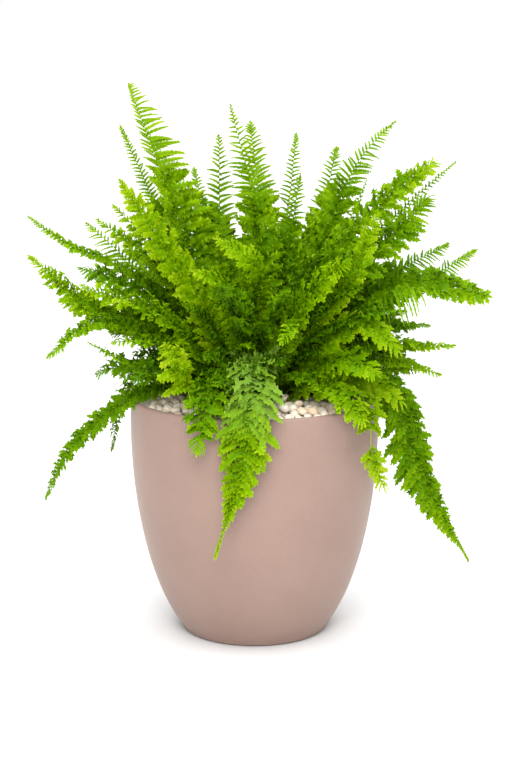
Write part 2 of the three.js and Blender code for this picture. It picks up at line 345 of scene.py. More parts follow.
class Nodes:
    """Builds one node material."""

    def __init__(self, name):
        self.material = bpy.data.materials.new(name)
        self.material.use_nodes = True
        self.tree = self.material.node_tree
        self.shader = self.tree.nodes["Principled BSDF"]
        self.output = self.tree.nodes["Material Output"]
        self.place = self.tree.nodes.new("ShaderNodeTexCoord").outputs["Object"]

    def feed(self, socket, value):
        """Links a socket to another, or gives it a number or a colour."""
        if isinstance(value, bpy.types.NodeSocket):
            self.tree.links.new(value, socket)
        else:
            socket.default_value = (*value, 1) if isinstance(value, tuple) else value

    def add(self, kind, inputs=None, **settings):
        node = self.tree.nodes.new(kind)
        for key, value in settings.items():
            setattr(node, key, value)
        for key, value in (inputs or {}).items():
            self.feed(node.inputs[key], value)
        return node

    def noise(self, scale, detail=3.0, roughness=0.55, distortion=0.0):
        inputs = {"Vector": self.place, "Scale": scale, "Detail": detail}
        inputs.update(Roughness=roughness, Distortion=distortion)
        return self.add("ShaderNodeTexNoise", inputs).outputs["Fac"]

    def value(self, name):
        return self.add("ShaderNodeAttribute", attribute_name=name).outputs["Fac"]

    def math(self, operation, a, b, c=0.0):
        return self.add("ShaderNodeMath", {0: a, 1: b, 2: c}, operation=operation).outputs[0]

    def ramp(self, factor, stops):
        node = self.add("ShaderNodeValToRGB", {"Fac": factor})
        elements = node.color_ramp.elements
        while len(elements) < len(stops):
            elements.new(0.5)
        for element, (at, color) in zip(elements, stops):
            element.position = at
            element.color = (*color, 1)
        return node.outputs["Color"]

    def mix(self, factor, a, b, blend="MIX"):
        inputs = {"Factor": factor, 6: a, 7: b}
        return self.add("ShaderNodeMix", inputs, data_type="RGBA", blend_type=blend).outputs[2]

    def bump(self, height, strength, distance, normal=None):
        inputs = {"Height": height, "Strength": strength, "Distance": distance}
        if normal is not None:
            inputs["Normal"] = normal
        return self.add("ShaderNodeBump", inputs).outputs["Normal"]

    def finish(self, **inputs):
        """Sets the shader's inputs, whose names have _ for a space."""
        for key, value in inputs.items():
            self.feed(self.shader.inputs[key.replace("_", " ")], value)
        return self.material


def planter_material():
    """Dusty pink matte glaze with a fine sandy grain and faint cloudy blotches."""
    n = Nodes("planter_glaze")
    dark, light, sand = (0.262, 0.17, 0.138), (0.296, 0.197, 0.161), (0.36, 0.235, 0.19)
    base = n.ramp(n.noise(9, detail=4), [(0.3, dark), (0.7, light)])
    speck = n.ramp(n.noise(560, detail=2), [(0.36, BLACK), (0.64, WHITE)])
    grain = n.bump(n.noise(480, detail=3, roughness=0.6), 0.5, 0.7 * MM)
    return n.finish(
        Base_Color=n.mix(n.math("MULTIPLY", speck, 0.26), base, sand),
        Roughness=n.math("MULTIPLY_ADD", n.noise(400), 0.2, 0.42),
        Normal=n.bump(n.noise(55, detail=2), 0.12, 1.2 * MM, grain),
        Specular_IOR_Level=0.4,
        Sheen_Weight=0.22,
        Sheen_Roughness=0.45,
        Sheen_Tint=(1, 0.8, 0.7),
    )


def soil_material():
    """Dark potting mix of crumbs that differ a little in colour."""
    n = Nodes("potting_mix")
    wet, dry = (0.018, 0.011, 0.007), (0.085, 0.05, 0.028)
    base = n.ramp(n.noise(130, detail=5), [(0.3, wet), (0.7, dry)])
    crumbs = n.add("ShaderNodeTexVoronoi", {"Vector": n.place, "Scale": 190}).outputs["Color"]
    mixed = n.mix(0.25, base, crumbs, "MULTIPLY")
    normal = n.bump(n.noise(260, detail=6, roughness=0.7), 0.9, 2 * MM)
    return n.finish(Base_Color=mixed, Roughness=0.95, Normal=normal, Specular_IOR_Level=0.15)


def pebble_material():
    """Tumbled stone: cream and white, some tan, with soft clouds and a few veins."""
    n = Nodes("tumbled_pebble")
    clouds = n.noise(140, detail=5, distortion=0.6)
    shade = n.math("ADD", n.value("stone"), n.math("MULTIPLY_ADD", clouds, 0.45, -0.22))
    stops = [
        (0.0, (0.44, 0.27, 0.14)),
        (0.2, (0.82, 0.6, 0.4)),
        (0.45, (0.96, 0.79, 0.61)),
        (0.75, (0.98, 0.87, 0.73)),
        (1.0, (0.99, 0.92, 0.83)),
    ]
    wisps = n.noise(75, detail=7, roughness=0.7, distortion=1.6)
    vein = n.ramp(wisps, [(0.47, BLACK), (0.5, WHITE), (0.53, BLACK)])
    veined = n.mix(n.math("MULTIPLY", vein, 0.16), n.ramp(shade, stops), (0.4, 0.34, 0.28))
    normal = n.bump(n.noise(420, detail=5, roughness=0.65), 0.35, 0.5 * MM)
    return n.finish(Base_Color=veined, Roughness=0.45, Normal=normal, Specular_IOR_Level=0.6)


def rhizome_material():
    """Brown fibrous root stock."""
    n = Nodes("scaly_rhizome")
    fibres = n.noise(170, detail=6, roughness=0.7, distortion=1.2)
    stops = [(0.3, (0.03, 0.017, 0.008)), (0.55, (0.13, 0.075, 0.03)), (0.75, (0.3, 0.19, 0.09))]
    normal = n.bump(fibres, 0.8, 2.5 * MM)
    base = n.ramp(fibres, stops)
    return n.finish(Base_Color=base, Roughness=0.85, Normal=normal, Specular_IOR_Level=0.2)


def leaf_material():
    """Thin satin leaf. The mesh says how bright each point is, from its youth and from painted light and
    shade (edge highlights, shade along midribs and deep in the plant), how strong its grey bloom is and
    where the stalk is."""
    n = Nodes("fern_leaf")
    patches = n.noise(60, detail=3)
    tone = n.math("ADD", n.value("tone"), n.math("MULTIPLY_ADD", patches, 0.24, -0.12))
    stops = [
        (0.0, (0.027, 0.074, 0.0)),
        (0.25, (0.073, 0.187, 0.0)),
        (0.5, (0.139, 0.318, 0.0)),
        (0.75, (0.27, 0.475, 0.0)),
        (1.0, (0.49, 0.63, 0.014)),
    ]
    grey_green, fleck = (0.24, 0.43, 0.05), (0.02, 0.07, 0.002)
    muted = n.mix(n.value("bloom"), n.ramp(tone, stops), grey_green)
    flecked = n.mix(n.math("MULTIPLY", n.noise(520, detail=3), 0.18), muted, fleck)
    stalk = n.ramp(n.noise(150, detail=3), [(0.35, (0.06, 0.08, 0.006)), (0.7, (0.12, 0.19, 0.008))])
    color = n.mix(n.value("stalk"), flecked, stalk)
    normal = n.bump(n.noise(330, detail=4, roughness=0.6), 0.3, 0.5 * MM)
    n.finish(Base_Color=color, Roughness=0.5, Normal=normal, Specular_IOR_Level=0.05)
    glow = n.mix(1.0, color, (1.02, 1.12, 0.5), "MULTIPLY")
    through = n.add("ShaderNodeBsdfTranslucent", {"Color": glow, "Normal": normal})
    both = n.add("ShaderNodeMixShader", {0: 0.33, 1: n.shader.outputs["BSDF"], 2: through.outputs["BSDF"]})
    n.tree.links.new(both.outputs["Shader"], n.output.inputs["Surface"])
    return n.material


# ---- turned shapes


def lathe(profile, segments):
    """Points and triangles of a line of [radius, height] turned about Z. Its ends lie on the axis."""
    rings = np.array(profile[1:-1])
    angles = np.linspace(0, 2 * math.pi, segments, endpoint=False)
    radius, z = np.repeat(rings[:, None], segments, axis=1).reshape(-1, 2).T
    turn = np.tile(angles, len(rings))
    points = np.column_stack([radius * np.cos(turn), radius * np.sin(turn), z])
    first, last = len(points), len(points) + 1
    points = np.vstack([points, [0, 0, profile[0][1]], [0, 0, profile[-1][1]]])
    around = np.arange(segments)
    after = (around + 1) % segments
    top = (len(rings) - 1) * segments
    foot_fan = np.stack([np.full(segments, first), after, around], axis=-1)
    top_fan = np.stack([np.full(segments, last), top + around, top + after], axis=-1)
    return points, np.vstack([tube_faces(len(rings), segments), foot_fan, top_fan])


def planter_outline():
    """Outer side of the CAD planter as radius and height arrays, from the foot to the lip."""
    points = cad_points("planter")
    radius = np.round(np.hypot(points[:, 0], points[:, 1]), 5)
    height = np.round(points[:, 2], 5)
    heights = np.unique(height)
    outer = np.array([radius[height == h].max() for h in heights])
    below_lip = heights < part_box("planter")[1].z - WALL / 4
    outer, heights = outer[below_lip], heights[below_lip]
    # a height that only the inner wall has lies well inside the line between its neighbours
    share = (heights[1:-1] - heights[:-2]) / (heights[2:] - heights[:-2])
    line = outer[:-2] + share * (outer[2:] - outer[:-2])
    on_side = np.concatenate([[True], outer[1:-1] > line - WALL / 2, [True]])
    return outer[on_side], heights[on_side]


def smooth_line(values, at, samples):
    """Catmull-Rom values at the samples of a curve known at increasing places."""
    slope = np.gradient(values, at, axis=0)
    i = np.clip(np.searchsorted(at, samples, side="right") - 1, 0, len(at) - 2)
    step = at[i + 1] - at[i]
    t = (samples - at[i]) / step
    if values.ndim > 1:
        t, step = t[:, None], step[:, None]
    start = (2 * t**3 - 3 * t**2 + 1) * values[i] + (t**3 - 2 * t**2 + t) * step * slope[i]
    end = (-2 * t**3 + 3 * t**2) * values[i + 1] + (t**3 - t**2) * step * slope[i + 1]
    return start + end


OUTER_RADIUS, OUTER_HEIGHT = planter_outline()


def outer_radius(height):
    return smooth_line(OUTER_RADIUS, OUTER_HEIGHT, np.clip(height, 0, OUTER_HEIGHT[-1]))


def arc(centre, radius, start, end, count):
    """Points of an arc in the [radius, height] plane, with angles in degrees."""
    angles = np.radians(np.linspace(start, end, count))
    return [[centre[0] + radius * math.cos(a), centre[1] + radius * math.sin(a)] for a in angles]


def add_planter(material):
    low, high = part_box("planter")
    floor_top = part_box("potting_soil")[0].z
    lip = WALL / 2
    heights = np.linspace(FOOT_GAP + FOOT_FILLET, high.z - lip, WALL_POINTS)
    outside = np.stack([outer_radius(heights), heights], axis=-1)
    foot_centre = [outside[0][0] - FOOT_FILLET, FOOT_GAP + FOOT_FILLET]
    foot_ring = foot_centre[0] - FOOT_INSET
    foot_corner = arc(foot_centre, FOOT_FILLET, -90, 0, CORNER_POINTS)[:-1]
    foot = [[foot_ring, 0], [foot_ring, FOOT_GAP], *foot_corner]
    rim = arc([outside[-1][0] - lip, high.z - lip], lip, 0, 180, LIP_POINTS)[1:-1]
    inner_heights = np.linspace(high.z - lip, floor_top + WALL, WALL_POINTS // 2)
    inside = np.stack([outer_radius(inner_heights) - WALL, inner_heights], axis=-1)
    corner_centre = [inside[-1][0] - WALL, floor_top + WALL]
    corner = arc(corner_centre, WALL, 0, -90, CORNER_POINTS)[1:]
    profile = [[0, 0], *foot, *outside.tolist(), *rim, *inside.tolist(), *corner, [0, floor_top]]
    points, faces = lathe(profile, PLANTER_SEGMENTS)
    add_piece("planter_shell", points, faces, material, "planter", sharp=SHARP_EDGE)


def ripples(points, wave_sets):
    """Smooth random height at points, a sum of sets of waves, each (height, wavelength, seed)."""
    total = np.zeros(len(points))
    for height, wavelength, seed in wave_sets:
        rng = np.random.default_rng(seed)
        directions = unit(rng.normal(size=(WAVES_PER_SET, 3)))
        lengths = wavelength * rng.uniform(*WAVELENGTH_FACTORS, WAVES_PER_SET)
        phases = rng.uniform(0, 2 * math.pi, WAVES_PER_SET)
        waves = np.sin(points @ (directions * (2 * math.pi / lengths)[:, None]).T + phases)
        total += height * (waves.sum(axis=1) / math.sqrt(WAVES_PER_SET))
    return total


def add_soil(material):
    low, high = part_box("potting_soil")
    level = high.z - SOIL_SINK
    heights = np.linspace(low.z, level, SIDE_RINGS)
    side = np.stack([outer_radius(heights) - WALL - SOIL_SIDE_GAP, heights], axis=-1)
    surface = [[r, level] for r in np.linspace(side[-1][0], 0, SURFACE_RINGS + 2)[1:-1]]
    floor_rings = [[r, low.z] for r in np.linspace(0, side[0][0], UNDERSIDE_RINGS + 2)[1:-1]]
    profile = [[0, low.z], *floor_rings, *side.tolist(), *surface, [0, level]]
    points, faces = lathe(profile, FILLING_SEGMENTS)
    inside_edge = np.hypot(points[:, 0], points[:, 1]) < side[-1][0] - MM
    top = (points[:, 2] > level - 0.5 * MM) & inside_edge
    points[top, 2] += ripples(points[top], SOIL_CRUMBS)
    add_piece("potting_mix", points, faces, material, "potting_soil")


def add_crown(material):
    low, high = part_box("crown")
    radius, rise = high.x, high.z - low.z
    angles = np.linspace(0, math.pi / 2, DOME_RINGS + 2)[1:-1]
    dome = [[radius * math.cos(a), low.z + rise * math.sin(a)] for a in angles]
    floor_rings = [[r, low.z] for r in np.linspace(0, radius, UNDERSIDE_RINGS + 1)[1:]]
    points, faces = lathe([[0, low.z], *floor_rings, *dome, [0, high.z]], FILLING_SEGMENTS)
    above = points[:, 2] > low.z + 2 * MM
    out = unit(points - np.array([0, 0, low.z - rise]))
    bumps = ripples(points, CROWN_SCALES) - CROWN_SINK
    points[above] += out[above] * bumps[above][:, None]
    add_piece("rhizome_crown", points, faces, material, "crown")


# ---- pebbles


def icosphere(subdivisions):
    mesh = bmesh.new()
    bmesh.ops.create_icosphere(mesh, subdivisions=subdivisions, radius=1)
    points = np.array([v.co for v in mesh.verts])
    faces = np.array([[v.index for v in f.verts] for f in mesh.faces])
    mesh.free()
    return points, faces


def spread_out(count, inner, outer, spacing, rng):
    """Places in a ring that push each other apart until they lie evenly."""
    angle = rng.uniform(0, 2 * math.pi, count)
    radius = np.sqrt(rng.uniform(inner**2, outer**2, count))
    places = np.stack([radius * np.cos(angle), radius * np.sin(angle)], axis=-1)
    for _ in range(SPREADING_STEPS):
        between = places[:, None] - places[None]
        distance = np.linalg.norm(between, axis=-1) + 1e-9
        push = np.clip(spacing - distance, 0, None)
        np.fill_diagonal(push, 0)
        places = places + SPREADING_PUSH * (between / distance[..., None] * push[..., None]).sum(axis=1)
        reach = np.linalg.norm(places, axis=-1)
        places *= (np.clip(reach, inner, outer) / reach)[:, None]
    return places


def pebble_shapes(count, detail, scale, rng):
    """Blocky rounded stones: a sphere cut by a few soft planes, stretched along three axes."""
    ball, faces = icosphere(detail)
    stones = np.repeat(ball[None], count, axis=0)
    for _ in range(PEBBLE_CUTS):
        normals = unit(rng.normal(size=(count, 1, 3)))
        depth = rng.uniform(*PEBBLE_CUT_DEPTHS, (count, 1))
        past = (stones * normals).sum(axis=-1) - depth
        soft = np.where(past > 0, past * PEBBLE_CUT_SHARE, 0)
        stones = stones - soft[..., None] * normals
    sizes = np.array(PEBBLE_RADII) * rng.uniform(*PEBBLE_SIZES, (count, 3)) * scale
    stones = stones * sizes[:, None]
    tilt = rng.normal(0, PEBBLE_TILT, (count, 2))
    spin = rng.uniform(0, 2 * math.pi, count)
    normal = unit(np.column_stack([tilt, np.ones(count)]))
    across = square_to(normal, np.column_stack([np.cos(spin), np.sin(spin), np.zeros(count)]))
    turns = np.stack([across, np.cross(normal, across), normal], axis=1)
    return np.einsum("pvi,pij->pvj", stones, turns), faces


def add_pebbles(material):
    """Two layers of loose stones at the top of the CAD layer, heaped up towards the crown."""
    rng = np.random.default_rng(PEBBLE_SEED)
    low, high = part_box("pebble_layer")
    wall = outer_radius(np.array([high.z]))[0] - WALL
    inner, outer = PEBBLE_INNER_RADIUS, wall - PEBBLE_WALL_GAP
    count = int(math.pi * (outer**2 - inner**2) / (PEBBLE_PACKING * PEBBLE_SPACING**2))
    layers = []
    for detail, number_share, scale, drop in PEBBLE_LAYERS:
        number = int(count * number_share)
        places = spread_out(number, inner, outer, PEBBLE_SPACING, rng)
        stones, faces = pebble_shapes(number, detail, scale, rng)
        reach = np.linalg.norm(places, axis=-1)
        heap = high.z + MM + PEBBLE_HEAP * np.clip((outer - reach) / PEBBLE_HEAP_WIDTH, 0, 1)
        top = heap + rng.normal(0, PEBBLE_TOP_JITTER, number) - drop
        lift = top - stones[..., 2].max(axis=1)
        stones[..., :2] += places[:, None]
        stones[..., 2] += lift[:, None]
        stones[..., 2] = np.maximum(stones[..., 2], low.z + 0.2 * MM)
        far = np.hypot(stones[..., 0], stones[..., 1])
        stones[..., :2] *= np.minimum(1, (wall - 0.4 * MM) / far)[..., None]
        shades = np.repeat(rng.beta(*PEBBLE_SHADES, number), stones.shape[1])
        layers.append((stones.reshape(-1, 3), repeated(faces, *stones.shape[:2]), {"stone": shades}))
    points, faces, values = joined(layers)
    add_piece("mulch_pebbles", points, faces, material, "pebble_layer", values)


# ---- fronds


def distances(points):
    """How far along a line each of its points is."""
    steps = np.linalg.norm(np.diff(points, axis=0), axis=1)
    return np.concatenate([[0], np.cumsum(steps)])


class Spine:
    """A frond's midrib as points, with the direction across the blade and its half width."""

    def __init__(self, centres, across, half):
        at = distances(centres)
        fine = np.linspace(0, at[-1], SPINE_POINTS)
        self.points = smooth_line(centres, at, fine)
        self.along = distances(self.points)
        self.length = self.along[-1]
        self.tangents = unit(np.gradient(self.points, self.along, axis=0))
        self.sides = square_to(self.tangents, smooth_line(across, at, fine))
        self.half = np.interp(fine, at, half)

    def at(self, along):
        """Point, tangent, side and half width at distances from the root."""

        def read(table):
            return np.stack([np.interp(along, self.along, table[:, k]) for k in range(3)], axis=-1)

        tangent = unit(read(self.tangents))
        side = square_to(tangent, read(self.sides))
        return read(self.points), tangent, side, np.interp(along, self.along, self.half)


def rings_of(node):
    """The four-cornered rings of a frond's CAD node, from its root by the crown to its tip."""
    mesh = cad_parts[node].data
    places, same = np.unique(np.round(cad_points(node), 5), axis=0, return_inverse=True)
    edges = np.empty(len(mesh.edges) * 2, np.int32)
    mesh.edges.foreach_get("vertices", edges)
    beside = [set() for _ in places]
    for a, b in same.ravel()[edges].reshape(-1, 2):
        beside[a].add(b)
        beside[b].add(a)
    crown_foot = np.array([0, 0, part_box("crown")[0].z])
    nearest = np.argsort(np.linalg.norm(places - crown_foot, axis=1))[:4]
    ring, seen, rings = set(nearest.tolist()), set(nearest.tolist()), []
    while ring:
        rings.append(places[sorted(ring)])
        ring = set().union(*(beside[i] for i in ring)) - seen
        seen |= ring
    return rings


def spine_of(node):
    """The midrib of a frond's CAD node, with the blade's upper side up."""
    rings = rings_of(node)
    centres = np.array([ring.mean(axis=0) for ring in rings])
    across, half = [], []
    for corners in rings:
        spans = corners[:, None] - corners[None]
        reach = np.linalg.norm(spans, axis=-1)
        i, j = np.unravel_index(reach.argmax(), reach.shape)
        direction = spans[i, j] / reach[i, j]
        if len(across) == len(rings) - 1:
            direction = across[-1]
        if across and direction @ across[-1] < 0:
            direction = -direction
        across.append(direction)
        half.append(reach[i, j] / 2)
    across = np.array(across)
    ways = unit(np.gradient(centres, axis=0))
    level = np.cross(UP, unit((centres[-1] - centres[0]) * [1, 1, 0]))
    if (np.cross(ways, across) * np.cross(ways, level)).sum() < 0:
        across = -across
    return Spine(centres, across, np.array(half))


def young_spine(azimuth, lean, length, half, turn, bend):
    """A short frond's midrib: out of the crown, then bending over under its own weight."""
    low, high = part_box("crown")
    radius, rise = high.x, high.z - low.z
    outward = np.array([math.cos(azimuth), math.sin(azimuth), 0])
    start = outward * radius * math.sin(lean) + UP * (low.z + rise * math.cos(lean))
    share = np.linspace(0, 1, 12)
    pitch = math.pi / 2 - lean * 0.8 - share * (bend[0] + bend[1] * lean)
    ways = turned(pitch[:, None], outward, UP)
    steps = (ways[1:] + ways[:-1]) / 2 * length / (len(share) - 1)
    centres = start + np.vstack([np.zeros(3), np.cumsum(steps, axis=0)])
    level = np.cross(UP, outward)
    across = turned(turn, level, np.cross(ways, level))
    along = np.clip((share - YOUNG_BARE_SHARE) / (1 - YOUNG_BARE_SHARE), 0, 1)
    rising, falling = YOUNG_OUTLINE
    width = along**rising * (1 - along) ** falling
    return Spine(centres, across, half * width / width.max())


def rachis(spine):
    """A tapered tube along the whole midrib, its root sunk in the crown."""
    along = np.linspace(0, spine.length, RACHIS_POINTS)
    points, tangents, sides, _ = spine.at(along)
    points[0] = points[0] - tangents[0] * ROOT_SINK
    ups = np.cross(tangents, sides)
    radius = np.interp(along / spine.length, [0, 1], RACHIS_RADIUS)[:, None, None]
    angles = np.linspace(0, 2 * math.pi, RACHIS_SIDES, endpoint=False)[None, :, None]
    rings = points[:, None] + radius * turned(angles, sides[:, None], ups[:, None])
    fan = np.arange(1, RACHIS_SIDES - 1)
    root_cap = np.stack([np.zeros_like(fan), fan + 1, fan], axis=-1)
    tip_cap = (len(along) - 1) * RACHIS_SIDES + root_cap[:, [0, 2, 1]]
    return rings.reshape(-1, 3), np.vstack([tube_faces(len(along), RACHIS_SIDES), root_cap, tip_cap])


def leaflet_faces(lobes):
    """Triangles of one closed leaflet. Its points are, in order: the midrib's top and its underside,
    the notches of both sides, six points for each lobe and three at the tip."""
    top = np.arange(lobes + 1)
    under = top + lobes + 1
    notch = [2 * (lobes + 1) + side * (lobes + 1) + top for side in (0, 1)]
    first_lobe = 4 * (lobes + 1)
    left_tip, tip, right_tip = first_lobe + 12 * lobes + np.arange(3)
    faces = []
    for side in (0, 1):
        for i in range(lobes):
            *edge, crest, hollow = first_lobe + 6 * (side * lobes + i) + np.arange(6)
            for centre, rib, upper in ((crest, top, True), (hollow, under, False)):
                outline = [rib[i], rib[i + 1], notch[side][i + 1], *edge[::-1], notch[side][i]]
                if upper == (side == 1):
                    outline.reverse()
                faces += [[centre, outline[k], outline[(k + 1) % 8]] for k in range(8)]
    left, right = notch
    faces += [[under[0], right[0], top[0]], [under[0], top[0], left[0]]]
    end = [left[-1], left_tip, tip, right_tip, right[-1]]
    for first, second in zip(end, end[1:]):
        faces += [[top[-1], second, first], [under[-1], first, second]]
    return np.array(faces)


def leaflet_points(lobes, length, width, style, to_tip, rng):
    """Local points (x along, y across, z up) of many leaflets with the same number of lobes,
    with each point's share of the length and its closeness to the edge."""
    count = len(length)
    one = np.ones((count, 1))
    style = {key: value[:, None] for key, value in style.items()}
    half = width[:, None] / 2
    thick = LEAF_THICKNESS / 2
    share = np.arange(lobes + 1) / (lobes + TIP_LOBE)
    pitch = share[1] - share[0]
    middle = (share[:-1] + share[1:]) / 2

    def profile(u):
        return (1 - np.clip(u, 0, 1) ** style["fullness"]) ** style["pointed"]

    rib_x = one * share
    rib_z = -RIB_DROP * (1 - rib_x)
    level = np.zeros_like(rib_x)
    parts = [np.stack([rib_x, level, rib_z + thick], -1), np.stack([rib_x, level, rib_z - thick], -1)]
    edge = [np.zeros(2 * (lobes + 1)), np.full(2 * (lobes + 1), 0.5)]
    notch = half * profile(share) * style["notch"]
    for sign in (1, -1):
        parts.append(np.stack([rib_x, sign * notch, level - NOTCH_DROP], -1))
    for sign in (1, -1):
        size = rng.uniform(*LOBE_SIZES, (count, lobes))
        size[:, 0] *= 1 + FIRST_LOBE_GAIN * (sign * to_tip > 0)
        reach = half * profile(middle + 0.1 * pitch) * size
        tilt = rng.normal(0, 1, (count, lobes)) * style["flutter"] + style["cup"]
        rise = np.tan(np.clip(tilt, -MOST_FLUTTER, MOST_FLUTTER))
        more = rng.uniform(-LOBE_LEAN_SPREAD, LOBE_LEAN_SPREAD, (count, lobes))
        lean = style["lean"] * pitch + more * pitch
        places = [(middle + at * pitch + lean / part, out, 0.0) for at, part, out, _ in LOBE_EDGE]
        places += [(one * middle, CREST_REACH, style["dome"] + z) for z in (thick, -thick)]
        lobe = [np.stack([x, sign * reach * out, reach * out * rise + z], -1) for x, out, z in places]
        parts.append(np.stack(lobe, axis=2).reshape(count, 6 * lobes, 3))
        closeness = [close for *_, close in LOBE_EDGE] + 2 * [CREST_CLOSENESS]
        edge.append(np.tile(closeness, lobes))
    shoulder, end = 0.8 + 0.2 * share[-1], notch[:, -1:] * 0.85
    for x, y in ((shoulder, end), (1.0, 0 * end), (shoulder, -end)):
        parts.append(np.stack([one * x, y, 0 * one], -1))
    edge.append(np.ones(3))
    points = np.concatenate(parts, axis=1)
    u = points[..., 0].copy()
    points[..., 0] *= length[:, None]
    wave = np.sin(2 * math.pi * (u * style["waves"] + rng.uniform(0, 1, (count, 1))))
    points[..., 2] += style["ruffle"] * wave * np.abs(points[..., 1])
    return points, u, np.concatenate(edge)


# Leaflets of three kinds: slender ones that lie open, as by a blade's tip, crowded ones that turn
# and curl every way, and broad ones that overlap like shingles
KINDS = ("open", "ruffled", "broad")
# Measures of each kind, in that order. Pairs are a mean and a spread, in degrees.
MEASURES = {
    "gap": (8.8 * MM, 6.4 * MM, 7.2 * MM),  # way to the next leaflet on the same side
    "pitch": (3.3 * MM, 4.4 * MM, 4.6 * MM),  # length of a lobe
    "aspect": (0.2, 0.58, 0.54),  # width for length
    "notch": (0.36, 0.42, 0.46),  # how far out the notches are, for the width there
    "lean": (0.3, 0.1, 0.2),  # how far the lobes lean to the leaflet's tip, in lobes
    "dome": (0.3 * MM, 0.6 * MM, 0.8 * MM),  # how high a lobe's middle bulges
    "fullness": (2.2, 3.0, 3.4),  # how long the leaflet stays wide
    "pointed": (0.6, 0.5, 0.45),  # how sharply it then narrows
    "flutter": (0.25, 0.5, 0.45),  # spread of the tilt of its lobes
    "cup": (0.06, 0.1, 0.05),  # mean of that tilt
    "waves": (0.8, 1.1, 1.0),  # number of waves along it
    "ruffle": (0.2, 0.5, 0.4),  # their height, for the distance from its midrib
    "angle": ((60, 6), (72, 9), (64, 9)),  # away from the frond's midrib
    "twist": ((12, 10), (24, 12), (20, 9)),  # about the leaflet's own midrib
    "lift": ((5, 8), (16, 10), (15, 8)),  # off the blade
    "droop": ((8, 14), (30, 16), (32, 14)),  # of the leaflet's end
    "sweep": (0.1, 0.08, 0.12),  # how far its end turns to the blade's tip
    "gravity": (0.3, 0.1, 0.08),  # how far its end is pulled down
    "stretch": (1.0, 0.92, 1.0),  # factor on its length
}
# Share of the blade over which open leaflets change to the frond's kind
CHANGE_SHARE = 0.1


def place_leaflets(spine, look, rng):
    """Alternate leaflets along the blade: distance from the root, side, length and share from the tip."""
    start = spine.length * look["bare"]
    blade = spine.length - start
    widest = look["gap"] * MEASURES["gap"][KINDS.index(look["kind"])]
    at, side = [start], [1]
    while at[-1] < spine.length - LAST_LEAFLET_GAP:
        left = (spine.length - at[-1]) / blade
        gap = np.interp(left, [0, look["tail"], 1], [TIP_GAP_SHARE, 1, 1]) * widest
        at.append(at[-1] + gap / 2 * rng.uniform(*LEAFLET_GAPS))
        side.append(-side[-1])
    at, side = np.array(at[:-1]), np.array(side[:-1])
    left = (spine.length - at) / blade
    widest_half = spine.half.max()
    power = np.where(at > spine.along[spine.half.argmax()], look["blunt"], look["foot"])
    half = widest_half * (spine.at(at)[3] / widest_half) ** power
    length = half * look["reach"] * (1 + look["ragged"] * rng.uniform(-1, 1, len(at)))
    length = length * np.where(side > 0, 1 + look["uneven"], 1 - look["uneven"])
    first, last = look["bald"]
    leafy = (at < first * spine.length) | (at >= last * spine.length)
    return at[leafy], side[leafy], length[leafy], left[leafy]


def styles_along(left, look, rng):
    """Each leaflet's own measures, from open ones at the tip to the frond's kind. Angles become radians."""
    weight = np.clip((left - look["open"]) / CHANGE_SHARE, 0, 1)
    weight = weight * weight * (3 - 2 * weight)
    style = {}
    for key, measures in MEASURES.items():
        low, high = np.array(measures[0]), np.array(measures[KINDS.index(look["kind"])])
        between = low + weight[:, None] * (high - low) if low.ndim else low + weight * (high - low)
        style[key] = np.radians(rng.normal(between[:, 0], between[:, 1])) if low.ndim else between
    for key in ("flutter", "twist", "lift", "droop"):
        style[key] = style[key] * look["curl"]
    return style


def turned_to_light(tangent, across, share):
    """Directions across a blade that is rolled about its midrib, part of the way to face the light."""
    upper = np.cross(tangent, across)
    roll = share * np.unwrap(np.arctan2(-(across @ LIGHT_WAY), upper @ LIGHT_WAY))[:, None]
    return turned(roll, across, upper)


def leaflet_axes(spine, at, side, left, look, style):
    """Where leaflets start, and their directions lengthways, crossways and out of the upper face."""
    base, tangent, across, _ = spine.at(at)
    across = turned_to_light(tangent, across, look["sunward"])
    upper = np.cross(tangent, across)
    angle = style["angle"] * np.interp(left, [0, 0.12], [TIP_ANGLE_SHARE, 1])
    angle = angle + math.radians(look["turn"]) * side
    angle[-1] = 0
    out = turned((angle * side)[:, None], tangent, across)
    out = unit(turned(style["lift"][:, None], out, upper))
    normal = square_to(out, upper)
    wide = np.cross(normal, out)
    wide = turned((style["twist"] * -side)[:, None], wide, normal)
    return base, (out, wide, np.cross(out, wide))


def leaf_shading(left, u, edge, look, rng):
    """Youth and painted light of each point of some leaflets, and bloom from 1 by the stalk to 0 by the
    tip. The painted light is a highlight by the edges, shade along the midribs and shade towards the stalk.
    """
    youth_and_light = rng.normal(0, YOUTH_SPREAD, (len(left), 1))
    # Across a leaflet: a painted highlight by its edge and painted shade along its midrib.
    youth_and_light = youth_and_light + YOUTH_ALONG * (u - 0.5) + EDGE_LIGHT_RIB_SHADE * (edge[None] - 0.75)
    # Younger and brighter by the tip. Darker towards the stalk, partly from older leaflets and partly as
    # painted shade deep in the plant by the crown.
    youth_and_light = youth_and_light + np.interp(left, [0, 0.25, 1], [TIP_YOUTH, UPPER_YOUTH, -look["age_and_shade"]])[:, None]
    bloom = np.interp(left, BLOOM_SHARES, [0, 1]) * rng.uniform(*BLOOM_FACTORS, len(left))
    return {"youth_and_light": youth_and_light.ravel(), "bloom": np.repeat(bloom, u.shape[1])}


